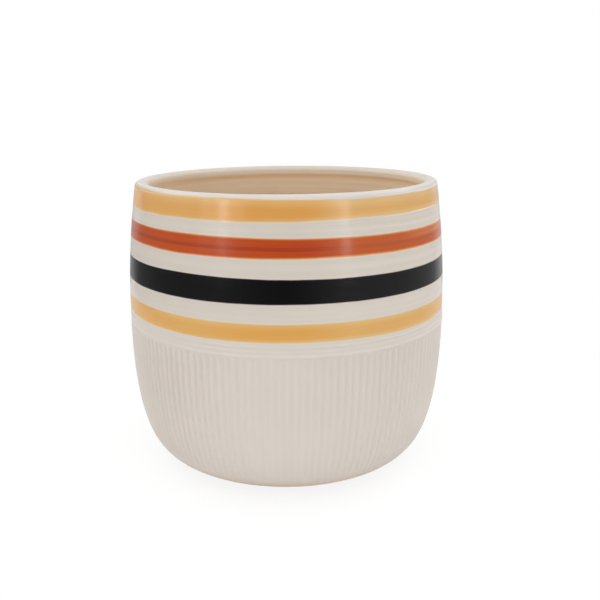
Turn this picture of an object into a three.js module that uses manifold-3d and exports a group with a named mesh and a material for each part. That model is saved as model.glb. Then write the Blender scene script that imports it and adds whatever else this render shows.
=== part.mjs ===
// A striped stoneware planter pot, in millimetres, +Z up.
// The origin is on the pot's axis, at the height of the surface that its felt pads stand on.
// The pot is turned: its walls, colour bands and plug are profiles of radius and height swept round the axis.
import * as THREE from "three";
import { mergeVertices } from "three/addons/utils/BufferGeometryUtils.js";
import Module from "manifold-3d";

const wasm = await Module();
wasm.setup();

// Outside of the pot: a full curve from the base to the belly, then a gentle draw-in to the rim
const bellyRadius = 76;
const bellyHeight = 76.9;
const baseRadius = 50.6;
const baseFullness = 2.8;
const rimRadius = 71;
const rimHeight = 135.5;
const shoulderFullness = 1.8;

// Wall, floor, and the thicker lip inside the rim
const wallThickness = 4.4;
const floorThickness = 6;
const lipOverhang = 1.2;
const lipDepth = 5.3;
const lipUndercut = 1.2;
const rimRounding = 1.6;

// Foot ring under the base, and the felt pads stuck to it
const footInset = 2.6;
const footWidth = 11;
const footHeight = 1.5;
const padCount = 4;
const padMargin = 1;
const padThickness = 1.2;

// Colour bands, listed from the rim down, with the bare glaze below each of them
const rimMargin = 1.7;
const upperYellowWidth = 8.3;
const yellowToRust = 6.7;
const rustWidth = 8.2;
const rustToBlack = 8.1;
const blackWidth = 10;
const blackToYellow = 8.2;
const lowerYellowWidth = 7.5;
const yellowToBead = 4.6;
const coatThickness = 0.5;
const coatGap = 0.1;
const colourBands = [
  { name: "upper_yellow_band", colour: 0xe2a450, width: upperYellowWidth, gapBelow: yellowToRust },
  { name: "rust_band", colour: 0xb5492a, width: rustWidth, gapBelow: rustToBlack },
  { name: "black_band", colour: 0x1b1b1c, width: blackWidth, gapBelow: blackToYellow },
  { name: "lower_yellow_band", colour: 0xe2a450, width: lowerYellowWidth, gapBelow: yellowToBead },
];

// The raised bead that ends the smooth wall, and the flutes combed into the wall below it
const beadWidth = 2.6;
const beadHeight = 0.5;
const beadLedge = 0.3;
const fluteCount = 144;
const fluteDepth = 0.6;

// Drain hole and the soft plug that drops into it from inside
const drainRadius = 7;
const flangeLap = 4.5;
const flangeThickness = 2.2;
const plugTaper = 0.6;
const plugClearance = 0.3;
const seatGap = 0.2;
const tabWidth = 12;
const tabHeight = 8;
const tabThickness = 4;
const tabRounding = 5;

// Facets: rows of a curved wall crowd towards its base, where it bends most
const wallSegments = 72;
const wallRows = 7;
const rowCrowding = 2.5;
const roundingSteps = 3;
const smallSegments = 32;
const pastTheSurface = 1;

// Heights and radii that follow from the sizes above
const footBottom = padThickness;
const baseHeight = footBottom + footHeight;
const floorTop = baseHeight + floorThickness;
const footRadius = baseRadius - footInset;
const padRadius = footWidth / 2 - padMargin;
const lipRadius = rimRadius - wallThickness - lipOverhang;
const lipBottom = rimHeight - lipDepth;
const edgeRounding = Math.min(rimRounding, rimMargin, (wallThickness + lipOverhang) / 2);
const flangeRadius = drainRadius + flangeLap;
const flangeBottom = floorTop - flangeThickness;
const bandsOnWall = [];
let beadTop = rimHeight - rimMargin;
for (const band of colourBands) {
  bandsOnWall.push({ ...band, top: beadTop, bottom: beadTop - band.width });
  beadTop -= band.width + band.gapBelow;
}
const beadMiddle = beadTop - beadWidth / 2;
const beadBottom = beadTop - beadWidth;

const glaze = new THREE.MeshStandardMaterial({ color: 0xded5ca, roughness: 0.45, metalness: 0 });
const felt = new THREE.MeshStandardMaterial({ color: 0x8f877d, roughness: 0.95, metalness: 0 });
const silicone = new THREE.MeshStandardMaterial({ color: 0x6b5a4c, roughness: 0.6, metalness: 0 });

// Radius at a height of a wall that rises from a flat base to the belly and draws in above it.
function wallRadius(height, flatHeight, inset) {
  if (height >= bellyHeight) {
    const share = (height - bellyHeight) / (rimHeight - bellyHeight);
    return bellyRadius - inset - (bellyRadius - rimRadius) * share ** shoulderFullness;
  }
  const drop = (bellyHeight - height) / (bellyHeight - flatHeight);
  const swell = (1 - drop ** baseFullness) ** (1 / baseFullness);
  return baseRadius - inset + (bellyRadius - baseRadius) * swell;
}

function outerRadius(height) {
  return wallRadius(height, baseHeight, 0);
}

function innerRadius(height) {
  return wallRadius(height, floorTop, wallThickness);
}

// Points up a wall from its flat base to a height.
function wallPoints(radiusAt, bottom, top) {
  const points = [];
  for (let row = 0; row <= wallRows; row++) {
    const height = bottom + (top - bottom) * (row / wallRows) ** rowCrowding;
    points.push(new THREE.Vector2(radiusAt(height), height));
  }
  return points;
}

// Points on an arc of the profile, from one angle to another.
function arcPoints(centreRadius, centreHeight, arcRadius, fromAngle, toAngle) {
  const points = [];
  for (let step = 0; step <= roundingSteps; step++) {
    const angle = fromAngle + (toAngle - fromAngle) * (step / roundingSteps);
    points.push(new THREE.Vector2(
      centreRadius + arcRadius * Math.cos(angle),
      centreHeight + arcRadius * Math.sin(angle),
    ));
  }
  return points;
}

// A profile swept round the Z axis.
function turned(points, segments) {
  return new THREE.LatheGeometry(points, segments).rotateX(Math.PI / 2);
}

// A plain disc between two heights, round the Z axis.
function turnedDisc(radius, bottom, top, segments) {
  return turned([
    new THREE.Vector2(0, bottom),
    new THREE.Vector2(radius, bottom),
    new THREE.Vector2(radius, top),
    new THREE.Vector2(0, top),
  ], segments);
}

// A closed geometry as a solid that can be joined and cut.
function solidOf(geometry) {
  geometry.deleteAttribute("normal");
  geometry.deleteAttribute("uv");
  const merged = mergeVertices(geometry);
  return new wasm.Manifold(new wasm.Mesh({
    numProp: 3,
    vertProperties: new Float32Array(merged.getAttribute("position").array),
    triVerts: new Uint32Array(merged.index.array),
  }));
}

// The surface of a solid as a flat-shaded geometry.
function geometryOf(solid) {
  const mesh = solid.getMesh();
  const shared = new THREE.BufferGeometry();
  shared.setAttribute("position", new THREE.BufferAttribute(mesh.vertProperties, 3));
  shared.setIndex(new THREE.BufferAttribute(mesh.triVerts, 1));
  const flat = shared.toNonIndexed();
  flat.computeVertexNormals();
  return flat;
}

function piece(name, geometry, material) {
  const mesh = new THREE.Mesh(geometry, material);
  mesh.name = name;
  return mesh;
}

// Smooth upper wall from the bead to the rim, solid to the axis, with a shallow seat for each band.
function upperWall() {
  const seatDepth = coatThickness + coatGap;
  const points = [
    new THREE.Vector2(0, beadBottom),
    new THREE.Vector2(outerRadius(beadBottom) + beadLedge, beadBottom),
    new THREE.Vector2(outerRadius(beadMiddle) + beadHeight, beadMiddle),
    new THREE.Vector2(outerRadius(beadTop), beadTop),
  ];
  for (const { bottom, top } of bandsOnWall.toReversed()) {
    points.push(
      new THREE.Vector2(outerRadius(bottom), bottom),
      new THREE.Vector2(outerRadius(bottom) - seatDepth, bottom),
      new THREE.Vector2(outerRadius(top) - seatDepth, top),
      new THREE.Vector2(outerRadius(top), top),
    );
  }
  points.push(
    ...arcPoints(rimRadius - edgeRounding, rimHeight - edgeRounding, edgeRounding, 0, Math.PI / 2),
    new THREE.Vector2(0, rimHeight),
  );
  return solidOf(turned(points, wallSegments));
}

// Lower wall from the base up into the bead, solid to the axis. Every second line round it is a groove.
function flutedWall() {
  const points = [
    new THREE.Vector2(0, baseHeight),
    ...wallPoints(outerRadius, baseHeight, beadMiddle),
    new THREE.Vector2(0, beadMiddle),
  ];
  const geometry = new THREE.LatheGeometry(points, fluteCount * 2);
  const position = geometry.getAttribute("position");
  for (let i = 0; i < position.count; i++) {
    const line = Math.floor(i / points.length);
    const row = i % points.length;
    const aboveTheBase = row > 1 && row < points.length - 1;
    if (line % 2 === 1 && aboveTheBase) {
      const narrowed = 1 - fluteDepth / points[row].x;
      position.setX(i, position.getX(i) * narrowed);
      position.setZ(i, position.getZ(i) * narrowed);
    }
  }
  return solidOf(geometry.rotateX(Math.PI / 2));
}

// The ring that the pads are stuck to, reaching up into the base.
function footRing() {
  const ring = turnedDisc(footRadius, footBottom, baseHeight + pastTheSurface, wallSegments);
  const hollow = turnedDisc(footRadius - footWidth, footBottom - pastTheSurface, baseHeight, wallSegments);
  return solidOf(ring).subtract(solidOf(hollow));
}

// The space inside: a flat floor, a curved wall, and the lip that overhangs the wall a little.
function plantingSpace() {
  const points = [
    new THREE.Vector2(0, floorTop),
    ...wallPoints(innerRadius, floorTop, lipBottom - lipUndercut),
    new THREE.Vector2(lipRadius, lipBottom),
    ...arcPoints(lipRadius + edgeRounding, rimHeight - edgeRounding, edgeRounding, Math.PI, Math.PI / 2),
    new THREE.Vector2(lipRadius + edgeRounding, rimHeight + pastTheSurface),
    new THREE.Vector2(0, rimHeight + pastTheSurface),
  ];
  return solidOf(turned(points, wallSegments));
}

// The drain hole through the floor, with a sunk seat for the plug's flange.
function drainHole() {
  const hole = turnedDisc(drainRadius, footBottom, floorTop + pastTheSurface, smallSegments);
  const seat = turnedDisc(
    flangeRadius + plugClearance,
    flangeBottom - seatGap,
    floorTop + pastTheSurface,
    smallSegments,
  );
  return solidOf(hole).add(solidOf(seat));
}

function potBody() {
  const outside = upperWall().add(flutedWall()).add(footRing());
  const body = outside.subtract(plantingSpace()).subtract(drainHole());
  return piece("pot_body", geometryOf(body), glaze);
}

// One fired coat of colour, lying flush in its seat on the wall.
function colourBand({ name, colour, bottom, top }) {
  const low = bottom + coatGap;
  const high = top - coatGap;
  const profile = [
    new THREE.Vector2(outerRadius(low) - coatThickness, low),
    new THREE.Vector2(outerRadius(low), low),
    new THREE.Vector2(outerRadius(high), high),
    new THREE.Vector2(outerRadius(high) - coatThickness, high),
    new THREE.Vector2(outerRadius(low) - coatThickness, low),
  ];
  const coat = new THREE.MeshStandardMaterial({ color: colour, roughness: 0.3, metalness: 0 });
  return piece(name, turned(profile, wallSegments), coat);
}

// The tab on the plug that a finger and thumb pinch, with its root sunk into the flange.
function pinchTab() {
  const rounding = Math.min(tabRounding, tabWidth / 2, tabHeight);
  const shoulder = tabHeight - rounding;
  const halfWidth = tabWidth / 2;
  const outline = new THREE.Shape();
  outline.moveTo(-halfWidth, -flangeThickness / 2);
  outline.lineTo(halfWidth, -flangeThickness / 2);
  outline.lineTo(halfWidth, shoulder);
  outline.absarc(halfWidth - rounding, shoulder, rounding, 0, Math.PI / 2, false);
  outline.absarc(rounding - halfWidth, shoulder, rounding, Math.PI / 2, Math.PI, false);
  outline.closePath();
  const tab = new THREE.ExtrudeGeometry(outline, {
    depth: tabThickness,
    bevelEnabled: false,
    curveSegments: roundingSteps + 1,
  });
  return tab.translate(0, 0, -tabThickness / 2).rotateX(Math.PI / 2).translate(0, 0, floorTop);
}

// Soft stopper: a tapered stem in the hole, a flange in its seat, level with the floor, and the tab.
function drainPlug() {
  const stemRadius = drainRadius - plugClearance;
  const stopper = turned([
    new THREE.Vector2(0, baseHeight),
    new THREE.Vector2(stemRadius - plugTaper, baseHeight),
    new THREE.Vector2(stemRadius, flangeBottom),
    new THREE.Vector2(flangeRadius, flangeBottom),
    new THREE.Vector2(flangeRadius, floorTop),
    new THREE.Vector2(0, floorTop),
  ], smallSegments);
  return piece("drain_plug", geometryOf(solidOf(stopper).add(solidOf(pinchTab()))), silicone);
}

// Felt pads, evenly spaced round the middle of the foot ring.
function footPads() {
  const pads = new THREE.Group();
  const circleRadius = footRadius - footWidth / 2;
  for (let i = 0; i < padCount; i++) {
    const angle = ((i + 0.5) / padCount) * 2 * Math.PI;
    const pad = piece(`foot_pad_${i + 1}`, turnedDisc(padRadius, 0, padThickness, smallSegments), felt);
    pad.position.set(circleRadius * Math.cos(angle), circleRadius * Math.sin(angle), 0);
    pads.add(pad);
  }
  return pads;
}

const planter = new THREE.Group();
planter.add(potBody(), ...bandsOnWall.map(colourBand), drainPlug(), footPads());

export default planter;
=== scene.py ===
import math
import random

import bmesh
import bpy
from mathutils import Matrix, Vector, noise


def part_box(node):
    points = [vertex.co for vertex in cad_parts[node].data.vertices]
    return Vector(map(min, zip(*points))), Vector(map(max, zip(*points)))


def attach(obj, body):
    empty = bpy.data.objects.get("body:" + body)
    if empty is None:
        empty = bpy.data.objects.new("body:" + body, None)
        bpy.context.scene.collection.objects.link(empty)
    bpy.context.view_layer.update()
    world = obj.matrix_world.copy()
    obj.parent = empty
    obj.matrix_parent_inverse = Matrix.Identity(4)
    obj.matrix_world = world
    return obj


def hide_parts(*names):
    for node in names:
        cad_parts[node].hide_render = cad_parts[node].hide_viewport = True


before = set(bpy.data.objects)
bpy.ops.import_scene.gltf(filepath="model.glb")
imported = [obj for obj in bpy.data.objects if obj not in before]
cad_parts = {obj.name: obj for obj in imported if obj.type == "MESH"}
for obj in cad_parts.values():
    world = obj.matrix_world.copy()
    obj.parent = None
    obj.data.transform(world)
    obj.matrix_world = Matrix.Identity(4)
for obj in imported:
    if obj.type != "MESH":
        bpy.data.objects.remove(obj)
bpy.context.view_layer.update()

scene = bpy.context.scene
scene.view_settings.view_transform = "Standard"
mm = 0.001
weld = 0.001 * mm  # vertices closer than this are merged

# camera, fitted to the pot's outline, rim and bands
photoView = {
    "inFront": 370.0 * mm,  # of the pot's axis
    "toTheRight": 6.5 * mm,
    "height": 171.3 * mm,
    "tiltDown": 14.6,  # degrees
    "lens": 46.0,
    "sensor": 36.0,
    "nearest": 10.0 * mm,
}


def placeCamera():
    lens = bpy.data.cameras.new("photoCamera")
    lens.lens = photoView["lens"]
    lens.sensor_width = photoView["sensor"]
    lens.clip_start = photoView["nearest"]
    eye = bpy.data.objects.new("photoCamera", lens)
    eye.location = (photoView["toTheRight"], -photoView["inFront"], photoView["height"])
    eye.rotation_euler = (math.radians(90 - photoView["tiltDown"]), 0, 0)
    scene.collection.objects.link(eye)
    scene.camera = eye
    print("camera placed")


# shader maths: a Wire is a node's output, and a sum of Wires adds Math nodes to its Board
class Wire:
    def __init__(self, board, socket):
        self.board = board
        self.socket = socket

    def maths(self, operation, first, second):
        return self.board.add("ShaderNodeMath", {"operation": operation}, {0: first, 1: second})

    def __add__(self, other):
        return self.maths("ADD", self, other)

    def __sub__(self, other):
        return self.maths("SUBTRACT", self, other)

    def __rsub__(self, other):
        return self.maths("SUBTRACT", other, self)

    def __mul__(self, other):
        return self.maths("MULTIPLY", self, other)

    def __truediv__(self, other):
        return self.maths("DIVIDE", self, other)

    __radd__ = __add__
    __rmul__ = __mul__


class Board:
    def __init__(self, tree):
        self.tree = tree

    def add(self, kind, settings=None, sockets=None, output=0):
        node = self.tree.nodes.new(kind)
        for name, value in (settings or {}).items():
            setattr(node, name, value)
        for name, value in (sockets or {}).items():
            if isinstance(value, Wire):
                self.tree.links.new(value.socket, node.inputs[name])
            else:
                node.inputs[name].default_value = value
        return Wire(self, node.outputs[output]) if node.outputs else None


def rgb(red, green, blue):
    return (red, green, blue, 1.0)


def ease(board, value, low, high):  # 0 below low, 1 above high, smooth between
    settings = {"interpolation_type": "SMOOTHSTEP"}
    return board.add("ShaderNodeMapRange", settings, {"Value": value, "From Min": low, "From Max": high})


def tint(board, share, first, second):
    return board.add("ShaderNodeMix", {"data_type": "RGBA"}, {0: share, 6: first, 7: second}, 2)


def dimmed(board, colour, share):
    return board.add("ShaderNodeVectorMath", {"operation": "SCALE"}, {0: colour, 3: share})


def smaller(board, first, second):
    return board.add("ShaderNodeMath", {"operation": "MINIMUM"}, {0: first, 1: second})


def larger(board, first, second):
    return board.add("ShaderNodeMath", {"operation": "MAXIMUM"}, {0: first, 1: second})


def grain(board, place, perMetre, detail=2.0, rough=0.5, shift=(0.0, 0.0, 0.0)):
    settings = {"operation": "MULTIPLY_ADD"}
    stretched = board.add("ShaderNodeVectorMath", settings, {0: place, 1: perMetre, 2: shift})
    sockets = {"Vector": stretched, "Scale": 1.0, "Detail": detail, "Roughness": rough}
    return board.add("ShaderNodeTexNoise", None, sockets)


def attribute(board, name):
    return board.add("ShaderNodeAttribute", {"attribute_name": name}, None, 2)


def startMaterial(name):
    material = bpy.data.materials.new(name)
    material.use_nodes = True
    material.node_tree.nodes.clear()
    board = Board(material.node_tree)
    place = board.add("ShaderNodeTexCoord", None, None, 3)  # Object coordinates
    return material, board, place


def finishMaterial(board, colour, roughness, relief, shine):
    # relief is in millimetres
    normal = board.add("ShaderNodeBump", None, {"Strength": 1.0, "Distance": mm, "Height": relief})
    sockets = {"Base Color": colour, "Roughness": roughness, "Normal": normal, **shine}
    surface = board.add("ShaderNodeBsdfPrincipled", None, sockets)
    board.add("ShaderNodeOutputMaterial", None, {"Surface": surface})


# the pot's shape, the same as the solid's
pot = {
    "bellyRadius": 76.0 * mm,
    "bellyHeight": 76.9 * mm,
    "baseRadius": 50.6 * mm,
    "baseFullness": 2.8,
    "rimRadius": 71.0 * mm,
    "shoulderFullness": 1.8,
    "wall": 4.4 * mm,
    "floor": 6.0 * mm,
    "lipOverhang": 1.2 * mm,
    "lipDepth": 5.3 * mm,
    "lipGroove": 0.35 * mm,
    "grooveReach": (1.2 * mm, 1.8 * mm),  # below and above the lip's lower edge
    "drawInReach": 24.0 * mm,
    "outerRounding": 1.8 * mm,
    "innerRounding": 2.4 * mm,
    "crestShadeOver": (66.0, 92.0),  # degrees up the rim's outer rounding, over which the painted shade comes on
    "tanOver": (115.0, 170.0),  # and on down its inner one
    "footHeight": 1.5 * mm,
    "footInset": 2.6 * mm,
    "footWidth": 11.0 * mm,
    "drainRadius": 7.0 * mm,
    "seatDepth": 2.4 * mm,
    "seatRoom": 0.3 * mm,  # round the plug's flange
    "softEdge": 0.4 * mm,
    "beadBelowBand": 6.4 * mm,
    "rings": (  # above the bead, how proud, how soft
        (0.0, 0.52 * mm, 1.00 * mm),
        (2.1 * mm, 0.34 * mm, 0.66 * mm),
        (4.0 * mm, 0.28 * mm, 0.70 * mm),
    ),
    "ringsReach": 8.0 * mm,  # above and below the bead
    "ringsFade": 0.75,  # on the far left
    "fadeOver": (-55.0 * mm, -30.0 * mm),
    "flutes": 144,
    "stepsPerFlute": 6,
    "flutesBelowBead": 1.1 * mm,
    "fluteDepth": 0.72 * mm,
    "fluteStart": 1.4 * mm,
    "fluteShoulder": 0.7,  # share of the start that has a row of its own
    "fluteRunOut": (-3.2 * mm, 16.0 * mm),  # above the base
    "fluteFoot": (0.5 * mm, 4.0 * mm),
    "fluteFade": (0.66, 0.40),  # depth low on the wall, and what its upper part adds
    "fadeHeights": (25.0 * mm, 58.0 * mm),
    "grooveShape": 1.6,  # over 1, a wide groove and a narrow ridge
    "grooveSunk": 0.6,  # share of the depth that lies below the wall
    "combSeed": 11,
    "combPress": (0.9, 1.1),  # lightest and hardest
    "combShift": 0.03,  # of a flute's width, to either side
    "combWear": 0.08,
    "wearGrain": (0.3, 30.0, 8.1),  # per flute, per metre up, and a place in the noise
    "faint": (  # where the comb hardly cut: degrees round from +X, how wide, how faint
        (265.0, 29.0, 0.55),
        (197.0, 14.0, 0.65),
    ),
    "deepSide": 200.0,  # where it was pressed hardest
    "deepness": 0.5,
    "rimLean": 0.5 * mm,  # the rim is that much higher on the right, and lower on the left
    "sectors": 8,
    "sharpAngle": 75.0,
}
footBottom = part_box("pot_body")[0].z
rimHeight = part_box("pot_body")[1].z
baseHeight = footBottom + pot["footHeight"]
floorTop = baseHeight + pot["floor"]
lipRadius = pot["rimRadius"] - pot["wall"] - pot["lipOverhang"]
lipBottom = rimHeight - pot["lipDepth"]
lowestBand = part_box("lower_yellow_band")[0].z
beadHeight = lowestBand - pot["beadBelowBand"]
flutesTop = beadHeight - pot["flutesBelowBead"]
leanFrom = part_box("rust_band")[1].z


def wallRadius(height, flatHeight, inset):
    if height >= pot["bellyHeight"]:
        share = (height - pot["bellyHeight"]) / (rimHeight - pot["bellyHeight"])
        drawIn = (pot["bellyRadius"] - pot["rimRadius"]) * share ** pot["shoulderFullness"]
        return pot["bellyRadius"] - inset - drawIn
    drop = (pot["bellyHeight"] - height) / (pot["bellyHeight"] - flatHeight)
    swell = (1 - min(drop, 1) ** pot["baseFullness"]) ** (1 / pot["baseFullness"])
    return pot["baseRadius"] - inset + (pot["bellyRadius"] - pot["baseRadius"]) * swell


def ringHeight(height):
    return sum(proud * math.exp(-(((height - beadHeight - above) / softness) ** 2))
               for above, proud, softness in pot["rings"])


def skinRadius(height):  # outside of the pot, with its bead, its rings and its rounded rim
    radius = wallRadius(height, baseHeight, 0) + ringHeight(height)
    rounding = pot["outerRounding"]
    over = height - (rimHeight - rounding)
    if over > 0:
        radius -= rounding - math.sqrt(max(rounding**2 - over**2, 0))
    return radius


def easeNumber(value, low, high):
    share = min(max((value - low) / (high - low), 0), 1)
    return share * share * (3 - 2 * share)


def spread(first, last, count):  # count + 1 even steps
    return [first + (last - first) * i / count for i in range(count + 1)]


rows = {
    "innerWall": 18,
    "crowding": 1.6,  # over 1, the inner wall's rows lie closer towards the floor
    "lip": 5,
    "rounding": 6,
    "upperWall": 13,
    "bead": 20,
    "flutedWall": 24,
}


def potProfile():  # radius, height, inside glaze, bare clay, comb depth, painted shade on the rim's crest
    soft = pot["softEdge"]
    hole = pot["drainRadius"]
    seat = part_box("drain_plug")[1].x + pot["seatRoom"]
    seatHeight = floorTop - pot["seatDepth"]
    footOuter = pot["baseRadius"] - pot["footInset"]
    footInner = footOuter - pot["footWidth"]
    profile = []

    def put(radius, height, inside=0.0, bare=0.0, comb=0.0, crestShade=0.0):
        profile.append((radius, height, inside, bare, comb, crestShade))

    # drain hole, plug seat and floor
    put(hole + soft, baseHeight, 0.5, 0.4)
    put(hole, baseHeight + soft, 1)
    put(hole, seatHeight - soft, 1)
    put(hole + soft, seatHeight, 1)
    put(seat - soft, seatHeight, 1)
    put(seat, seatHeight + soft, 1)
    put(seat, floorTop - soft, 1)
    put(seat + soft, floorTop, 1)
    put((seat + pot["baseRadius"]) / 2, floorTop, 1)
    # inner wall, drawn in a little towards the lip, with a shallow groove under it
    below, above = pot["grooveReach"]
    grooveLow = lipBottom - below
    grooveHigh = lipBottom + above
    drawnIn = wallRadius(grooveLow, floorTop, pot["wall"]) - lipRadius - pot["lipGroove"]
    for share in spread(0, 1, rows["innerWall"]):
        height = floorTop + (grooveLow - floorTop) * share ** rows["crowding"]
        radius = wallRadius(height, floorTop, pot["wall"])
        put(radius - drawnIn * easeNumber(height, grooveLow - pot["drawInReach"], grooveLow), height, 1)
    for share in spread(0, 1, rows["lip"])[1:]:
        radius = lipRadius + pot["lipGroove"] * (1 - easeNumber(share, 0, 1))
        put(radius, grooveLow + (grooveHigh - grooveLow) * share, 1)
    # rim
    rounding = pot["innerRounding"]
    for turn in spread(180, 90, rows["rounding"]):
        angle = math.radians(turn)
        height = rimHeight - rounding + rounding * math.sin(angle)
        inside = easeNumber(turn, *pot["tanOver"])
        put(lipRadius + rounding + rounding * math.cos(angle), height, inside, crestShade=1)
    rounding = pot["outerRounding"]
    for turn in spread(90, 0, rows["rounding"]):
        angle = math.radians(turn)
        height = rimHeight - rounding + rounding * math.sin(angle)
        crestShade = easeNumber(turn, *pot["crestShadeOver"])
        put(pot["rimRadius"] - rounding + rounding * math.cos(angle), height, crestShade=crestShade)
    # smooth wall, then the rings and the bead
    for height in spread(rimHeight - rounding, lowestBand, rows["upperWall"])[1:]:
        put(skinRadius(height), height)
    for height in spread(lowestBand, flutesTop, rows["bead"])[1:]:
        put(skinRadius(height), height)
    # fluted wall, closest rows at the base
    startDrop = (pot["bellyHeight"] - flutesTop) / (pot["bellyHeight"] - baseHeight)
    startTurn = math.acos(startDrop ** (pot["baseFullness"] / 2))
    heights = [flutesTop - pot["fluteStart"] * pot["fluteShoulder"]]
    for turn in spread(startTurn, 0, rows["flutedWall"])[1:]:
        drop = math.cos(turn) ** (2 / pot["baseFullness"])
        heights.append(pot["bellyHeight"] - (pot["bellyHeight"] - baseHeight) * drop)
    low, more = pot["fluteFade"]
    for height in heights:
        comb = low + more * easeNumber(height, *pot["fadeHeights"])
        comb *= easeNumber(flutesTop - height, 0, pot["fluteStart"])
        comb *= easeNumber(height - baseHeight, *pot["fluteRunOut"])
        comb *= easeNumber(height - baseHeight, *pot["fluteFoot"])
        put(skinRadius(height), height, comb=comb)
    # foot ring and underside, where the glaze gives way to bare clay
    put(footOuter + soft, baseHeight, bare=0.5)
    put(footOuter, baseHeight - soft, bare=0.8)
    put(footOuter, footBottom + soft, bare=1)
    put(footOuter - soft, footBottom, bare=1)
    put(footInner + soft, footBottom, bare=1)
    put(footInner, footBottom + soft, bare=1)
    put(footInner, baseHeight - soft, bare=0.8)
    put(footInner - soft, baseHeight, bare=0.4)
    return profile


def moveOut(vert, radius, distance):  # along the radius
    vert.co.x *= 1 + distance / radius
    vert.co.y *= 1 + distance / radius


def combFlutes(mesh, comb, pooledShade):  # grooves pressed in by a comb, each a little different
    dice = random.Random(pot["combSeed"])
    depths = [dice.uniform(*pot["combPress"]) for _ in range(pot["flutes"])]
    shifts = [dice.uniform(-pot["combShift"], pot["combShift"]) for _ in range(pot["flutes"])]
    perFlute, perMetre, noisePlace = pot["wearGrain"]
    for vert in mesh.verts:
        if vert[comb] == 0:
            continue
        radius = math.hypot(vert.co.x, vert.co.y)
        turn = math.atan2(vert.co.y, vert.co.x) / math.tau * pot["flutes"]
        groove = round(turn) % pot["flutes"]
        offCentre = turn - round(turn) - shifts[groove]
        cut = 1 - (0.5 - 0.5 * math.cos(math.tau * offCentre)) ** pot["grooveShape"]
        wear = noise.noise(Vector((turn * perFlute, vert.co.z * perMetre, noisePlace)))
        press = depths[groove] * (1 + pot["combWear"] * wear) * vert[comb]
        for side, width, faintness in pot["faint"]:
            away = (360 * turn / pot["flutes"] - side + 180) % 360 - 180
            press *= 1 - faintness * math.exp(-((away / width) ** 2))
        fromDeepSide = math.tau * turn / pot["flutes"] - math.radians(pot["deepSide"])
        press *= 1 + pot["deepness"] * math.cos(fromDeepSide)
        # share of painted shade in the groove, where the glaze also pools
        vert[pooledShade] = cut * press
        moveOut(vert, radius, -pot["fluteDepth"] * (cut - pot["grooveSunk"]) * press)


def fadeRings(mesh):
    for vert in mesh.verts:
        radius = math.hypot(vert.co.x, vert.co.y)
        above = vert.co.z - beadHeight
        if abs(above) > pot["ringsReach"] or radius < pot["rimRadius"]:
            continue
        share = pot["ringsFade"] * (1 - easeNumber(vert.co.x, *pot["fadeOver"]))
        moveOut(vert, radius, -share * ringHeight(vert.co.z))


def leanRim(mesh):
    for vert in mesh.verts:
        share = easeNumber(vert.co.z, leanFrom, lipBottom)
        vert.co.z += pot["rimLean"] * share * vert.co.x / pot["rimRadius"]


def spinProfile(mesh, verts, steps, closed=True):  # one sector is spun, then copied round
    edges = [mesh.edges.new(pair) for pair in zip(verts, verts[1:])]
    if closed:
        edges.append(mesh.edges.new((verts[-1], verts[0])))
    sectors = pot["sectors"]
    upright = {"cent": (0, 0, 0), "axis": (0, 0, 1)}
    bmesh.ops.spin(mesh, geom=verts + edges, angle=math.tau / sectors, steps=steps // sectors, **upright)
    sector = mesh.verts[:] + mesh.edges[:] + mesh.faces[:]
    bmesh.ops.spin(mesh, geom=sector, angle=math.tau * (1 - 1 / sectors), steps=sectors - 1,
                   use_duplicate=True, **upright)
    bmesh.ops.remove_doubles(mesh, verts=mesh.verts, dist=weld)


def makePiece(name, mesh, material, body, node, sharpAngle):
    bmesh.ops.recalc_face_normals(mesh, faces=mesh.faces)
    data = bpy.data.meshes.new(name)
    mesh.to_mesh(data)
    mesh.free()
    data.polygons.foreach_set("use_smooth", [True] * len(data.polygons))
    data.set_sharp_from_angle(angle=math.radians(sharpAngle))
    data.materials.append(material)
    piece = bpy.data.objects.new(name, data)
    scene.collection.objects.link(piece)
    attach(piece, body)
    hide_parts(node)
    print(name, "made:", len(data.polygons), "faces")
    return piece


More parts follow.
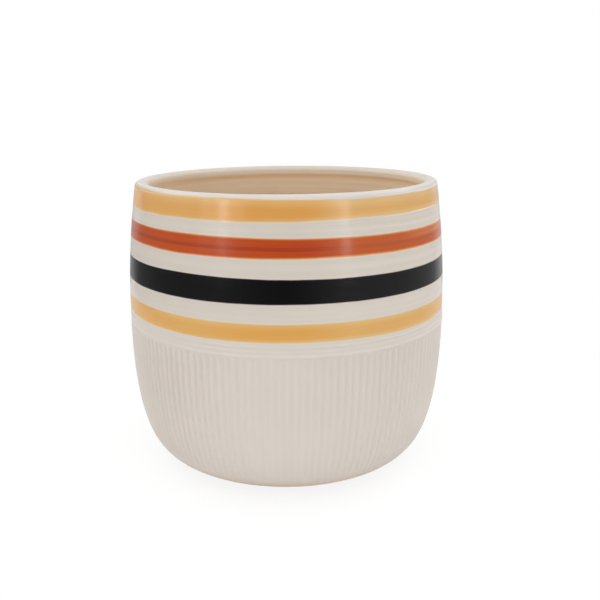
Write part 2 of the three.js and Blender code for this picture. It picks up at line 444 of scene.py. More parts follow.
# glaze that the pot and its bands share, so that the bands' edges melt into it
glaze = {
    "softMix": (0.3, 0.7),  # part of a grain's range over which it changes a colour
    "firmMix": (0.35, 0.65),
    # grains, in repeats per metre
    "clouds": (26.0, 26.0, 34.0),
    "wheelLines": (3.0, 3.0, 480.0),
    "combStrokes": (300.0, 300.0, 12.0),
    "peel": (700.0, 700.0, 700.0),
    "insideLines": (5.0, 5.0, 260.0),
    "grog": (900.0, 900.0, 900.0),
    "specks": 60.0,
    # smooth wall and flutes
    "cream": rgb(0.624, 0.568, 0.506),
    "creamShade": rgb(0.590, 0.533, 0.470),
    "cloudy": 0.4,
    "streaky": 0.1,
    "paintedLineShade": (0.32, 0.42),  # painted shade along the wheel lines, on the left, and what the right adds
    "rightOver": (-20 * mm, 60 * mm),
    # painted light on the smooth wall's right
    "paintedLightRight": 0.06,
    "halo": rgb(0.665, 0.608, 0.550),
    "lowCream": rgb(0.655, 0.596, 0.540),
    "lowReach": (8 * mm, 22 * mm),  # below the flutes' top, and above the lowest band's foot
    "lowPatches": 0.4,
    # painted shade in the flutes' grooves, where the glaze also pools
    "pooledShade": rgb(0.540, 0.482, 0.430),
    "pooledShadeShare": 0.3,
    "speck": rgb(0.13, 0.09, 0.07),
    "speckSize": (0.009, 0.02),
    "speckShare": 0.75,
    # rim, with depths below its top
    "rimWhite": rgb(0.600, 0.566, 0.532),
    "whiteOver": (1.9 * mm, 0.6 * mm),
    # painted shade on the rim's crest, where it faces up
    "rimCrestShade": rgb(0.540, 0.506, 0.473),
    "matteOver": (2.2 * mm, 1.4 * mm),
    "paintedShadeEnds": (0.29, 0.25),  # painted shade at the ends of the rim's rounding, left and right
    "endsFrom": (46 * mm, 65 * mm),
    "endsOver": (2.2 * mm, 1.0 * mm, 0.5 * mm),  # where they start, are full and start to end
    # inside
    "tan": rgb(0.758, 0.608, 0.448),
    "tanShade": rgb(0.732, 0.583, 0.423),
    "paintedShadeInside": 0.12,  # painted shade on its left
    "insideOver": (-60 * mm, -34 * mm),
    # painted shade on the lip and in the groove under it
    "lipShadeTan": rgb(0.650, 0.548, 0.435),
    "lipOver": 1.6 * mm,
    "lipMatteOver": 1.5 * mm,
    "grooveShadeTan": rgb(0.640, 0.440, 0.250),
    "grooveUp": 0.3 * mm,  # above the lip's lower edge
    "grooveOver": 2.5 * mm,
    # base and foot
    "thinEdgeShade": rgb(0.670, 0.524, 0.388),
    "thinEdgeShadeOver": (1.2 * mm, 8.5 * mm),  # above the base
    "clay": rgb(0.430, 0.320, 0.230),
    "clayShade": rgb(0.330, 0.235, 0.160),
    # finish, with the relief in millimetres
    "creamShine": {"IOR": 1.5, "Specular IOR Level": 0.28},
    "bandShine": {"IOR": 1.5, "Specular IOR Level": 0.5},
    "roughness": 0.13,
    "streakRoughness": 0.06,  # added to it
    "bareRoughness": 0.4,  # added on bare clay
    "combedRoughness": 0.45,
    "rimRoughness": 0.55,
    "lineRelief": (0.12, 0.10),  # on the left, and what the right adds
    "strokeRelief": 0.004,
    "peelRelief": 0.006,
    "grogRelief": 0.08,
    "insideRelief": 0.06,
}


def levelled(board, place):  # height as it was before the rim leaned, and the way across
    across = board.add("ShaderNodeSeparateXYZ", None, {0: place}, 0)
    height = board.add("ShaderNodeSeparateXYZ", None, {0: place}, 2)
    share = ease(board, height, leanFrom, lipBottom)
    return height - across * share * (pot["rimLean"] / pot["rimRadius"]), across


def belowRim(depths):
    return [rimHeight - depth for depth in depths]


def creamGlaze(board, place, height, across):
    cloud = ease(board, grain(board, place, glaze["clouds"], detail=3.0), *glaze["softMix"])
    lines = grain(board, place, glaze["wheelLines"], detail=1.0, rough=0.4)
    strokes = grain(board, place, glaze["combStrokes"])
    peel = grain(board, place, glaze["peel"])
    toRight = ease(board, across, *glaze["rightOver"])
    onSmoothWall = ease(board, height, flutesTop, beadHeight)
    onFlutes = 1 - onSmoothWall
    streak = lines * onSmoothWall + strokes * onFlutes
    # painted shade along the wheel lines, where the glaze also lies thicker, stronger on the right
    onLeft, more = glaze["paintedLineShade"]
    paintedLineShade = ease(board, lines, *glaze["firmMix"]) * onSmoothWall * (onLeft + more * toRight)
    streaky = ease(board, streak, *glaze["softMix"]) * glaze["streaky"]
    patchy = cloud * glaze["cloudy"] + streaky + paintedLineShade
    colour = tint(board, patchy, glaze["cream"], glaze["creamShade"])
    # painted light: the smooth wall paler towards the right
    colour = dimmed(board, colour, 1 + toRight * onSmoothWall * glaze["paintedLightRight"])
    # paler below the bands, and whitest on the rim
    below, above = glaze["lowReach"]
    paler = 1 - ease(board, height, flutesTop - below, lowestBand + above)
    colour = tint(board, paler * (1 - patchy * glaze["lowPatches"]), colour, glaze["lowCream"])
    onRim = ease(board, height, *belowRim(glaze["whiteOver"]))
    colour = tint(board, onRim, colour, glaze["rimWhite"])
    dots = board.add("ShaderNodeTexVoronoi", None, {"Vector": place, "Scale": glaze["specks"]})
    speckled = (1 - ease(board, dots, *glaze["speckSize"])) * glaze["speckShare"]
    colour = tint(board, speckled, colour, glaze["speck"])
    onLeft, more = glaze["lineRelief"]
    relief = lines * onSmoothWall * (onLeft + more * toRight)
    relief = relief + strokes * onFlutes * glaze["strokeRelief"] + peel * glaze["peelRelief"]
    matte = ease(board, height, *belowRim(glaze["matteOver"]))
    roughness = glaze["roughness"] + glaze["streakRoughness"] * streak
    roughness = roughness + matte * (glaze["rimRoughness"] - glaze["roughness"])
    return colour, relief, roughness


def paintShadeOnRimEnds(board, colour, height, across):  # painted shade: darker at the ends of the rim's rounding
    start, full, end = belowRim(glaze["endsOver"])
    onRounding = ease(board, height, start, full) * (1 - ease(board, height, end, rimHeight))
    left, right = glaze["paintedShadeEnds"]
    ends = ease(board, across, *glaze["endsFrom"]) * right
    ends = ends + ease(board, -1 * across, *glaze["endsFrom"]) * left
    return dimmed(board, colour, 1 - onRounding * ends)


def potGlaze():
    material, board, place = startMaterial("creamGlaze")
    height, across = levelled(board, place)
    cream, relief, roughness = creamGlaze(board, place, height, across)
    inside = attribute(board, "inside")
    outside = 1 - inside
    bare = attribute(board, "bare")
    pooledShade = attribute(board, "pooledShade")
    # painted shade in the flutes' grooves, where the glaze also pools
    cream = tint(board, pooledShade * glaze["pooledShadeShare"], cream, glaze["pooledShade"])
    # painted shade at the ends of the rim's rounding
    cream = paintShadeOnRimEnds(board, cream, height, across)
    # painted shade on the rim's crest, where it faces up
    cream = tint(board, attribute(board, "crestShade"), cream, glaze["rimCrestShade"])
    # inside, a tan glaze with throwing lines, with painted shade a little darker on the left
    throwing = grain(board, place, glaze["insideLines"], detail=3.0)
    tan = tint(board, ease(board, throwing, *glaze["firmMix"]), glaze["tan"], glaze["tanShade"])
    # painted shade: the inside darker towards its left
    insideShade = 1 - glaze["paintedShadeInside"] * (1 - ease(board, across, *glaze["insideOver"]))
    tan = dimmed(board, tan, insideShade)
    lip = dimmed(board, glaze["lipShadeTan"][:3], insideShade)
    # painted shade, darker on the lip and in the groove below it, where the glaze also runs together
    groove = lipBottom + glaze["grooveUp"]
    tan = tint(board, ease(board, height, groove - glaze["grooveOver"], groove), tan, glaze["grooveShadeTan"])
    tan = tint(board, ease(board, height, groove, groove + glaze["lipOver"]), tan, lip)
    # the glaze runs thin over the turn at the base, with painted shade where the wall turns under
    low, high = glaze["thinEdgeShadeOver"]
    thin = (1 - ease(board, height, baseHeight + low, baseHeight + high)) * outside
    colour = tint(board, thin, cream, glaze["thinEdgeShade"])
    colour = tint(board, inside, colour, tan)
    # unglazed foot
    grog = grain(board, place, glaze["grog"], detail=4.0, rough=0.7)
    clay = tint(board, ease(board, grog, *glaze["firmMix"]), glaze["clay"], glaze["clayShade"])
    colour = tint(board, bare, colour, clay)
    combed = (1 - ease(board, height, beadHeight, lowestBand)) * outside
    onLip = ease(board, height, lipBottom - glaze["lipMatteOver"], lipBottom) * inside
    roughness = roughness + combed * (glaze["combedRoughness"] - glaze["roughness"])
    roughness = larger(board, roughness + glaze["bareRoughness"] * bare, onLip * glaze["rimRoughness"])
    relief = relief + grog * bare * glaze["grogRelief"] + throwing * inside * glaze["insideRelief"]
    finishMaterial(board, colour, roughness, relief, glaze["creamShine"])
    return material


def buildPot():
    mesh = bmesh.new()
    names = ("inside", "bare", "comb", "crestShade", "pooledShade")
    layers = {name: mesh.verts.layers.float.new(name) for name in names}
    verts = []
    for radius, height, *shares in potProfile():
        vert = mesh.verts.new((radius, 0, height))
        for name, share in zip(names, shares):
            vert[layers[name]] = share
        verts.append(vert)
    spinProfile(mesh, verts, pot["flutes"] * pot["stepsPerFlute"])
    combFlutes(mesh, layers["comb"], layers["pooledShade"])
    fadeRings(mesh)
    leanRim(mesh)
    makePiece("glazed_pot", mesh, potGlaze(), "pot", "pot_body", pot["sharpAngle"])


# colour bands, brushed on while the pot turned
band = {
    "margin": 0.9 * mm,  # of bare glaze carried past the colour
    "lap": 0.5 * mm,
    "proud": 0.03 * mm,
    "sunk": 0.06 * mm,
    "thickness": 0.35 * mm,
    "rows": 16,
    "steps": 432,
    "sharpAngle": 40.0,
    "coatGap": 0.1 * mm,
    "rimRoom": 0.25 * mm,
    # edges
    "slowWander": (13.0, 13.0, 0.0),  # repeats per metre
    "quickWander": (75.0, 75.0, 0.0),
    "quickShare": 0.5,
    "lowPlace": 2.0,  # in the noise
    "highPlace": 6.0,
    "edgeSoftness": 0.24 * mm,
    "edgeLine": 0.75 * mm,
    "edgeShare": (0.8, 0.5),  # and what the far left takes off
    "haloReach": 0.9 * mm,  # pale glaze beside the colour
    "haloShare": 0.7,
    # where a coat is worn, and where painted sheen makes it paler towards the sides
    "endOver": (-62 * mm, -44 * mm),  # the far left
    "leftOver": (-42 * mm, -12 * mm),
    "rightOver": (8 * mm, 30 * mm),
    "cornerOver": (44 * mm, 64 * mm),  # the far right, where a coat's upper half is paler
    "upperHalf": (-0.1, 0.5),
    "middleUp": 0.05,
    "topWorn": (0.75, 0.55),  # and what the far left takes off
    "lowWornRight": 0.8,
    # brush marks
    "hairs": (9.0, 9.0, 1300.0),  # repeats per metre
    "swathes": (14.0, 14.0, 330.0),
    "wornMix": (0.7, 0.3, 0.3),  # all over, along the hairs and along the swathes
    "darkMix": (0.2, 0.3),  # along the hairs and along the swathes
    "darkWidth": 0.06,
    "darkLineMix": (0.4, 0.6),  # all over, and along the hairs
    "smoothing": 0.6,  # share of the wall's relief that a coat fills
    "coatRelief": 0.01,
    "hairRelief": 0.005,
}
# strays: what the far left adds, then the left and the right
bandLooks = {
    "upper_yellow_band": {
        "slot": "yellow_coat", "seed": 1.3, "wobble": 1.5 * mm, "overTop": 0.4 * mm,
        "strayOver": (-20 * mm, 35 * mm),
        "lowStray": (0.25 * mm, -0.55 * mm, 0.40 * mm),
        "highStray": (0.45 * mm, 0.05 * mm, -0.75 * mm),
        "topFringe": 4.2 * mm, "bottomFringe": 2.0 * mm,
        "full": rgb(0.675, 0.333, 0.084), "thin": rgb(0.685, 0.438, 0.188),
        "dark": rgb(0.640, 0.300, 0.074), "edge": rgb(0.700, 0.480, 0.190),
        "wearAndSheenLeft": 0.26, "wearAndSheenRight": 0.5, "wornLow": 0.35, "paleCorner": 0.0, "darkStreak": 0.0,
    },
    "rust_band": {
        "slot": "rust_coat", "seed": 4.1, "wobble": 0.8 * mm, "overTop": 0.0,
        "strayOver": (-40 * mm, 25 * mm),
        "lowStray": (0.40 * mm, -0.20 * mm, 0.12 * mm),
        "highStray": (-0.05 * mm, 0.35 * mm, -0.10 * mm),
        "topFringe": 1.1 * mm, "bottomFringe": 1.1 * mm,
        "full": rgb(0.485, 0.068, 0.0140), "thin": rgb(0.610, 0.185, 0.050),
        "dark": rgb(0.335, 0.038, 0.011), "edge": rgb(0.690, 0.345, 0.110),
        "wearAndSheenLeft": 0.09, "wearAndSheenRight": 0.28, "wornLow": 0.65, "paleCorner": 0.5, "darkStreak": 0.80,
    },
    "black_band": {
        "slot": "black_coat", "seed": 7.7, "wobble": 0.6 * mm, "overTop": 0.0,
        "strayOver": (-40 * mm, 25 * mm),
        "lowStray": (0.0, -0.28 * mm, 0.05 * mm),
        "highStray": (-0.35 * mm, 0.38 * mm, -0.10 * mm),
        "topFringe": 0.5 * mm, "bottomFringe": 0.5 * mm,
        "full": rgb(0.0030, 0.0030, 0.0034), "thin": rgb(0.016, 0.012, 0.010),
        "dark": rgb(0.0022, 0.0022, 0.0026), "edge": rgb(0.030, 0.020, 0.014),
        "wearAndSheenLeft": 0.0, "wearAndSheenRight": 0.1, "wornLow": 0.35, "paleCorner": 0.0, "darkStreak": 0.0,
    },
    "lower_yellow_band": {
        "slot": "yellow_coat", "seed": 9.2, "wobble": 0.9 * mm, "overTop": 0.0,
        "strayOver": (-40 * mm, 25 * mm),
        "lowStray": (0.20 * mm, -0.15 * mm, -0.30 * mm),
        "highStray": (0.0, 0.10 * mm, 0.05 * mm),
        "topFringe": 3.2 * mm, "bottomFringe": 2.0 * mm,
        "full": rgb(0.680, 0.350, 0.080), "thin": rgb(0.690, 0.434, 0.170),
        "dark": rgb(0.650, 0.316, 0.068), "edge": rgb(0.700, 0.480, 0.190),
        "wearAndSheenLeft": 0.28, "wearAndSheenRight": 0.42, "wornLow": 0.35, "paleCorner": 0.0, "darkStreak": 0.0,
    },
}


def brushedCoat(name, look, low, high):
    material, board, place = startMaterial(name)
    height, across = levelled(board, place)
    cream, relief, roughness = creamGlaze(board, place, height, across)
    seed = look["seed"]
    toRight = ease(board, across, *look["strayOver"])
    toEnd = 1 - ease(board, across, *band["endOver"])

    def wander(noisePlace, stray):  # a brush edge that strays as the pot turns
        slow = grain(board, place, band["slowWander"], shift=(seed, noisePlace, seed))
        quick = grain(board, place, band["quickWander"], shift=(noisePlace, seed, noisePlace))
        end, left, right = stray
        strayed = left + toRight * (right - left) + toEnd * end
        quickWobble = look["wobble"] * band["quickShare"]
        return strayed + (slow - 0.5) * look["wobble"] + (quick - 0.5) * quickWobble

    fromLow = height - low - wander(band["lowPlace"], look["lowStray"])
    fromHigh = high + look["overTop"] - height + wander(band["highPlace"], look["highStray"])
    fromEdge = smaller(board, fromLow, fromHigh)
    covered = ease(board, fromEdge, -band["edgeSoftness"], band["edgeSoftness"])
    # brush hairs leave fine streaks, and the colour thins at its edges and as the brush runs dry; painted
    # sheen makes it paler towards the left and right
    hairs = grain(board, place, band["hairs"], detail=3.0, rough=0.6, shift=(seed, 0.0, 0.0))
    hairs = ease(board, hairs, *glaze["softMix"])
    swathes = grain(board, place, band["swathes"], shift=(0.0, seed, 0.0))
    swathes = ease(board, swathes, *glaze["softMix"])
    topThin = 1 - ease(board, fromHigh, 0.0, look["topFringe"])
    bottomThin = 1 - ease(board, fromLow, 0.0, look["bottomFringe"])
    # painted sheen, with wear: paler towards the left and right
    wornAndSheen = ease(board, across, *band["rightOver"]) * look["wearAndSheenRight"]
    wornAndSheen = wornAndSheen + (1 - ease(board, across, *band["leftOver"])) * look["wearAndSheenLeft"]
    most, less = band["topWorn"]
    wornAndSheen = wornAndSheen + topThin * (most - toEnd * less)
    wornAndSheen = wornAndSheen + bottomThin * (look["wornLow"] + toRight * band["lowWornRight"])
    offMiddle = (fromLow - fromHigh) / (high - low) + band["middleUp"]
    corner = ease(board, across, *band["cornerOver"]) * ease(board, offMiddle, *band["upperHalf"])
    allOver, byHairs, bySwathes = band["wornMix"]
    wornAndSheen = (wornAndSheen + corner * look["paleCorner"]) * (allOver + hairs * byHairs + swathes * bySwathes)
    # the rust has a darker line along its middle
    darkLine = (1 - ease(board, offMiddle * offMiddle, 0.0, band["darkWidth"])) * look["darkStreak"]
    allOver, lineByHairs = band["darkLineMix"]
    byHairs, bySwathes = band["darkMix"]
    dark = swathes * bySwathes + hairs * byHairs + darkLine * (allOver + hairs * lineByHairs)
    colour = tint(board, dark, look["full"], look["dark"])
    colour = tint(board, wornAndSheen, colour, look["thin"])
    most, less = band["edgeShare"]
    thinLine = (1 - ease(board, fromEdge, 0.0, band["edgeLine"])) * (most - toEnd * less)
    colour = tint(board, thinLine, colour, look["edge"])
    halo = ease(board, fromEdge, -band["haloReach"], 0.0) * band["haloShare"]
    colour = tint(board, covered, tint(board, halo, cream, glaze["halo"]), colour)
    # painted shade at the ends of the rim's rounding
    colour = paintShadeOnRimEnds(board, colour, height, across)
    relief = relief * (1 - covered * band["smoothing"])
    relief = relief + covered * band["coatRelief"] + hairs * covered * band["hairRelief"]
    finishMaterial(board, colour, roughness, relief, glaze["bandShine"])
    return material


def buildBand(name, look):
    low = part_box(name)[0].z - band["coatGap"]
    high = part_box(name)[1].z + band["coatGap"]
    bottom = low - band["margin"] - max(-min(look["lowStray"]), 0)
    top = min(high + band["margin"] + max(look["highStray"]), rimHeight - band["rimRoom"])
    mesh = bmesh.new()
    verts = []
    for height in spread(bottom, top, band["rows"]):
        shown = easeNumber(min(height - bottom, top - height), 0, band["lap"])
        stand = band["proud"] * shown - band["sunk"] * (1 - shown)
        verts.append(mesh.verts.new((skinRadius(height) + stand, 0, height)))
    for height in (top, bottom):
        verts.append(mesh.verts.new((skinRadius(height) - band["thickness"], 0, height)))
    spinProfile(mesh, verts, band["steps"])
    leanRim(mesh)
    coat = brushedCoat(name, look, low, high)
    makePiece(name + "_coat", mesh, coat, "pot", name, band["sharpAngle"])


# drain plug: moulded soft silicone
plug = {
    "steps": 96,
    "sharpAngle": 60.0,
    "flangeThickness": 2.2 * mm,
    "room": 0.3 * mm,  # round the stem
    "taper": 0.6 * mm,
    "soft": 0.5 * mm,
    "dish": 0.25 * mm,  # how far the flange's face is sunk
    "dishShare": 0.62,
    "tabWidth": 12.0 * mm,
    "tabThickness": 4.0 * mm,
    "tabRounding": 5.0 * mm,
    "tabRoot": 1.1 * mm,
    "tabSteps": 10,
    "tabSoft": 0.8 * mm,
    "softSegments": 3,
    "ridges": (2.2 * mm, 3.7 * mm, 5.2 * mm),  # heights on the tab
    "ridgeRadius": 0.55 * mm,
    "ridgeLength": 7.0 * mm,
    "ridgeSunk": 0.12 * mm,
    "ridgeSides": 16,
    "voxel": 0.2 * mm,
    "smoothing": 0.5,
    "passes": 4,
    "colour": rgb(0.150, 0.115, 0.085),
    "shade": rgb(0.120, 0.090, 0.066),
    "bloom": (160.0, 160.0, 160.0),  # repeats per metre
    "bloomMix": (0.35, 0.65),
    "dust": (2400.0, 2400.0, 2400.0),
    "dustRelief": 0.02,
    "roughness": (0.5, 0.18),  # and what the bloom adds
    "shine": {"IOR": 1.41, "Specular IOR Level": 0.4},
}


def silicone():
    material, board, place = startMaterial("plugSilicone")
    bloom = ease(board, grain(board, place, plug["bloom"], detail=4.0), *plug["bloomMix"])
    colour = tint(board, bloom, plug["colour"], plug["shade"])
    dust = grain(board, place, plug["dust"])
    least, more = plug["roughness"]
    finishMaterial(board, colour, least + more * bloom, dust * plug["dustRelief"], plug["shine"])
    return material


def addPinchTab(mesh, top):
    half = plug["tabWidth"] / 2
    rounding = plug["tabRounding"]
    thickness = plug["tabThickness"]
    outline = [(-half, floorTop - plug["tabRoot"]), (half, floorTop - plug["tabRoot"])]
    for middle, start in ((half - rounding, 0), (rounding - half, 90)):
        for turn in spread(start, start + 90, plug["tabSteps"]):
            angle = math.radians(turn)
            height = top - rounding + rounding * math.sin(angle)
            outline.append((middle + rounding * math.cos(angle), height))
    face = mesh.faces.new([mesh.verts.new((across, -thickness / 2, height)) for across, height in outline])
    grown = bmesh.ops.extrude_face_region(mesh, geom=[face])["geom"]
    far = [part for part in grown if isinstance(part, bmesh.types.BMVert)]
    bmesh.ops.translate(mesh, vec=(0, thickness, 0), verts=far)
    edges = {edge for side in (face.verts, far) for vert in side for edge in vert.link_edges}
    outer = [edge for edge in edges if edge.verts[0].co.y == edge.verts[1].co.y]
    bmesh.ops.bevel(mesh, geom=outer, offset=plug["tabSoft"], offset_type="OFFSET", affect="EDGES",
                    segments=plug["softSegments"], profile=0.5, material=-1)
    # ridges that grip
    lying = Matrix.Rotation(math.radians(90), 4, "Y")
    radius = plug["ridgeRadius"]
    for above in plug["ridges"]:
        for side in (-1, 1):
            place = (0, side * (thickness / 2 - plug["ridgeSunk"]), floorTop + above)
            bmesh.ops.create_cone(mesh, cap_ends=True, segments=plug["ridgeSides"], radius1=radius,
                                  radius2=radius, depth=plug["ridgeLength"],
                                  matrix=Matrix.Translation(place) @ lying)


def buildPlug():
    low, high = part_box("drain_plug")
    flange = high.x
    flangeLow = floorTop - plug["flangeThickness"]
    stem = pot["drainRadius"] - plug["room"]
    soft = plug["soft"]
    dish = floorTop - plug["dish"]
    mesh = bmesh.new()
    outline = [(0, low.z), (stem - plug["taper"] - soft, low.z), (stem - plug["taper"], low.z + soft)]
    outline += [(stem, flangeLow), (flange - soft, flangeLow), (flange, flangeLow + soft)]
    outline += [(flange, floorTop - soft), (flange - soft, floorTop)]
    outline += [(flange * plug["dishShare"], dish), (0, dish)]
    verts = [mesh.verts.new((radius, 0, height)) for radius, height in outline]
    spinProfile(mesh, verts, plug["steps"], closed=False)
    addPinchTab(mesh, high.z)
    piece = makePiece("soft_plug", mesh, silicone(), "plug", "drain_plug",
                      plug["sharpAngle"])
    moulded = piece.modifiers.new("moulded", "REMESH")
    moulded.mode = "VOXEL"
    moulded.voxel_size = plug["voxel"]
    moulded.use_smooth_shade = True
    smoothed = piece.modifiers.new("smoothed", "SMOOTH")
    smoothed.factor = plug["smoothing"]
    smoothed.iterations = plug["passes"]


# felt pads under the foot ring
pad = {
    "steps": 64,
    "sharpAngle": 50.0,
    "soft": 0.25 * mm,
    "innerRing": 0.5,  # share of the radius
    "fuzz": 0.07 * mm,
    "fuzzDepth": 0.1 * mm,  # in from the edge
    "fuzzGrain": 1800.0,  # per metre
    "fuzzShift": 900.0,  # makes each pad's its own
    "colour": rgb(0.30, 0.265, 0.225),
    "shade": rgb(0.19, 0.165, 0.14),
    "fibres": (1500.0, 1500.0, 500.0),  # repeats per metre
    "fibreMix": (0.3, 0.7),
    "fibreRelief": 0.16,
    "roughness": (0.88, 0.1),  # and what the matting adds
    "shine": {"IOR": 1.45, "Specular IOR Level": 0.15, "Sheen Weight": 0.4, "Sheen Roughness": 0.5},
}


def felt():
    material, board, place = startMaterial("padFelt")
    fibres = grain(board, place, pad["fibres"], detail=5.0, rough=0.7)
    matting = ease(board, fibres, *pad["fibreMix"])
    colour = tint(board, matting, pad["colour"], pad["shade"])
    least, more = pad["roughness"]
    finishMaterial(board, colour, least + more * matting, fibres * pad["fibreRelief"], pad["shine"])
    return material


def buildPads():
    material = felt()
    soft = pad["soft"]
    for node in sorted(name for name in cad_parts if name.startswith("foot_pad")):
        low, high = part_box(node)
        centre = (low + high) / 2
        radius = (high.x - low.x) / 2
        inner = radius * pad["innerRing"]
        mesh = bmesh.new()
        outline = [(0, low.z), (inner, low.z), (radius - soft, low.z), (radius, low.z + soft)]
        outline += [(radius, high.z - soft), (radius - soft, high.z), (inner, high.z), (0, high.z)]
        verts = [mesh.verts.new((reach, 0, height)) for reach, height in outline]
        spinProfile(mesh, verts, pad["steps"], closed=False)
        for vert in mesh.verts:
            reach = math.hypot(vert.co.x, vert.co.y)
            if reach > radius - pad["fuzzDepth"]:
                fuzz = noise.noise(vert.co * pad["fuzzGrain"] + centre * pad["fuzzShift"])
                moveOut(vert, reach, pad["fuzz"] * fuzz)
        bmesh.ops.translate(mesh, vec=(centre.x, centre.y, 0), verts=mesh.verts)
        makePiece(node + "_felt", mesh, material, "pot", node, pad["sharpAngle"])


# studio: a pale floor, strip lights, softboxes, and surroundings that the camera sees as plain white
studio = {
    "white": rgb(1.0, 1.0, 1.0),
    "floorSize": 0.7,
    "floorDrop": 0.1 * mm,  # keeps it off the pads' faces
    "floorColour": rgb(0.89, 0.89, 0.89),
    "floorGlow": 0.86,  # share of plain white that the camera sees near the pot
    "mirroredFloor": rgb(0.68, 0.68, 0.68),  # as the glaze sees it
    "shadowReach": (0.10, 0.28),
    "distance": 1.2,
    "lamps": {  # degrees to the right of the front, width, bottom and top, watts
        "leftStrip": (-42.9, 0.13, 0.20, 0.8, 0.86),
        "leftStripFoot": (-42.9, 0.11, 0.06, 0.20, 0.045),
        "leftGlow": (-44.0, 0.7, 0.20, 0.45, 0.60),
        "leftGlowFoot": (-48.0, 0.6, 0.05, 0.20, 0.11),
        "rightStrip": (39.6, 0.24, 0.27, 1.1, 1.0),
        "rightStripFoot": (41.4, 0.13, 0.08, 0.27, 0.20),
        "rightGlow": (35.0, 0.4, 0.17, 0.45, 0.16),
        "leftSoftbox": (-102.0, 1.4, 0.25, 1.35, 3.2),
        "rightSoftbox": (102.0, 1.4, 0.25, 1.35, 4.35),
        "leftBackPanel": (-128.0, 1.0, 0.20, 1.2, 5.0),
        "rightBackPanel": (128.0, 1.0, 0.20, 1.2, 5.6),
        "frontSoftbox": (0.0, 1.2, 0.55, 1.3, 3.5),
    },
    "overhead": {"height": 1.3, "size": 1.2, "watts": 10.4, "forward": 0.45},
    # light from all round, by how far back it comes from
    "ambient": {"front": 0.36, "back": 0.95, "over": (0.0, 0.8)},
    # dim room that the glaze mirrors, by how far right, back and up it is looked at
    "room": {"front": 0.085, "left": 0.18, "right": 0.34, "sideReach": 0.8, "middle": (-0.3, 0.3)},
    "backdrop": {"left": 0.68, "right": 0.6, "over": (0.64, 0.76), "foot": (-0.15, -0.04), "turned": 0.05},
    "veil": {"left": 0.31, "right": 0.39, "over": (0.62, 0.86), "foot": (-0.235, -0.185)},
    "straightBack": (0.94, 1.0),  # plain white
}


def seenBy(board):  # camera rays, and rays that mirror or pass through
    rays = board.add("ShaderNodeLightPath").socket.node.outputs
    mirrored = larger(board, Wire(board, rays["Is Glossy Ray"]), Wire(board, rays["Is Transmission Ray"]))
    return Wire(board, rays["Is Camera Ray"]), mirrored


def floorPaint():  # white away from the pot, with a soft shadow round it
    material, board, place = startMaterial("paleFloor")
    away = board.add("ShaderNodeVectorMath", {"operation": "LENGTH"}, {0: place}, 1)
    glow = studio["floorGlow"] + ease(board, away, *studio["shadowReach"]) * (1 - studio["floorGlow"])
    paint = board.add("ShaderNodeBsdfDiffuse", None, {"Color": studio["floorColour"]})
    white = board.add("ShaderNodeEmission", None, {"Color": studio["white"], "Strength": 1.0})
    dim = board.add("ShaderNodeEmission", None, {"Color": studio["mirroredFloor"], "Strength": 1.0})
    camera, mirrored = seenBy(board)
    white = board.add("ShaderNodeMixShader", None, {0: mirrored, 1: white, 2: dim})
    seen = larger(board, camera, mirrored)
    surface = board.add("ShaderNodeMixShader", None, {0: glow * seen, 1: paint, 2: white})
    # clear from below, so that the foot can be seen
    fromBelow = Wire(board, board.add("ShaderNodeNewGeometry").socket.node.outputs["Backfacing"])
    clear = board.add("ShaderNodeBsdfTransparent")
    surface = board.add("ShaderNodeMixShader", None, {0: fromBelow, 1: surface, 2: clear})
    board.add("ShaderNodeOutputMaterial", None, {"Surface": surface})
    return material


def buildFloor():
    mesh = bmesh.new()
    bmesh.ops.create_grid(mesh, x_segments=1, y_segments=1, size=studio["floorSize"] / 2)
    bmesh.ops.translate(mesh, vec=(0, 0, -studio["floorDrop"]), verts=mesh.verts)
    data = bpy.data.meshes.new("floor")
    mesh.to_mesh(data)
    mesh.free()
    data.materials.append(floorPaint())
    floor = bpy.data.objects.new("floor", data)
    scene.collection.objects.link(floor)
    print("floor laid")


def areaLight(name, place, target, size, watts):
    lamp = bpy.data.lights.new(name, "AREA")
    lamp.shape = "RECTANGLE"
    lamp.size, lamp.size_y = size
    lamp.energy = watts
    light = bpy.data.objects.new(name, lamp)
    light.location = place
    light.rotation_euler = (Vector(target) - Vector(place)).to_track_quat("-Z", "Y").to_euler()
    scene.collection.objects.link(light)


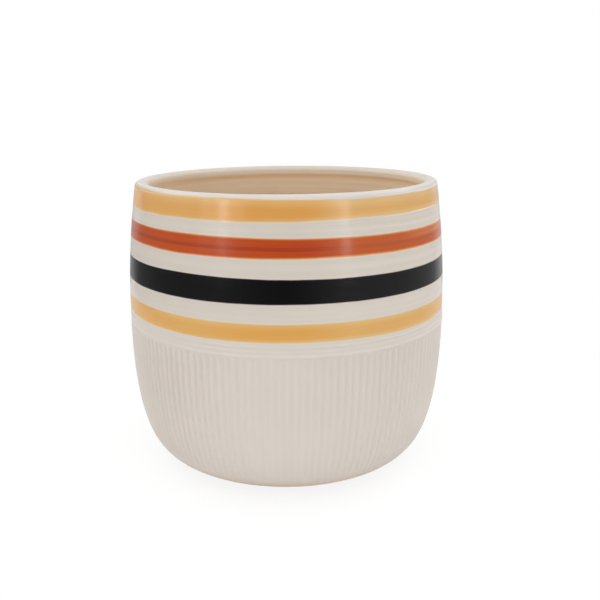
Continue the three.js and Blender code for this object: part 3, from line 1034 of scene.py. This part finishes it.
def hangLights():
    reach = studio["distance"]
    for name, (turn, width, bottom, top, watts) in studio["lamps"].items():
        middle = (bottom + top) / 2
        place = (reach * math.sin(math.radians(turn)), -reach * math.cos(math.radians(turn)), middle)
        areaLight(name, place, (0, 0, middle), (width, top - bottom), watts)
    overhead = studio["overhead"]
    place = (0, -overhead["forward"], overhead["height"])
    areaLight("overheadSoftbox", place, (0, 0, 0), (overhead["size"], overhead["size"]), overhead["watts"])
    print("lights hung")


def setSurroundings():
    world = bpy.data.worlds.new("studioWhite")
    world.use_nodes = True
    world.node_tree.nodes.clear()
    board = Board(world.node_tree)
    direction = board.add("ShaderNodeTexCoord", None, None, 0)
    toRight, toBack, up = (board.add("ShaderNodeSeparateXYZ", None, {0: direction}, i) for i in range(3))
    room = studio["room"]
    front, sideReach = room["front"], room["sideReach"]
    onRight = ease(board, toRight, *room["middle"])

    def fromSideToSide(part):
        return part["left"] + (part["right"] - part["left"]) * onRight

    mirror = front + (room["right"] - front) * ease(board, toRight, 0.0, sideReach)
    mirror = mirror + (room["left"] - front) * (1 - ease(board, toRight, -sideReach, 0.0))
    # pale backdrop, which ends at the sides and a little below the pot
    backdrop = studio["backdrop"]
    onBackdrop = ease(board, toBack - toRight * backdrop["turned"], *backdrop["over"])
    onBackdrop = onBackdrop * ease(board, up, *backdrop["foot"])
    mirror = mirror + (fromSideToSide(backdrop) - mirror) * onBackdrop
    # and a dimmer veil round it, which the ends of the black band mirror
    veil = studio["veil"]
    onVeil = fromSideToSide(veil) * ease(board, toBack, *veil["over"]) * ease(board, up, *veil["foot"])
    mirror = mirror + onVeil * (1 - onBackdrop)
    mirror = mirror + (1 - mirror) * ease(board, toBack, *studio["straightBack"])
    ambient = studio["ambient"]
    fromBack = ease(board, toBack, *ambient["over"])
    ambient = ambient["front"] + (ambient["back"] - ambient["front"]) * fromBack
    camera, mirrored = seenBy(board)
    brightness = ambient + mirrored * (mirror - ambient)
    brightness = brightness + camera * (1 - brightness)
    light = board.add("ShaderNodeBackground", None, {"Color": studio["white"], "Strength": brightness})
    board.add("ShaderNodeOutputWorld", None, {"Surface": light})
    scene.world = world
    print("surroundings set")


placeCamera()
buildPot()
for bandName, bandLook in bandLooks.items():
    buildBand(bandName, bandLook)
buildPlug()
buildPads()
buildFloor()
hangLights()
setSurroundings()
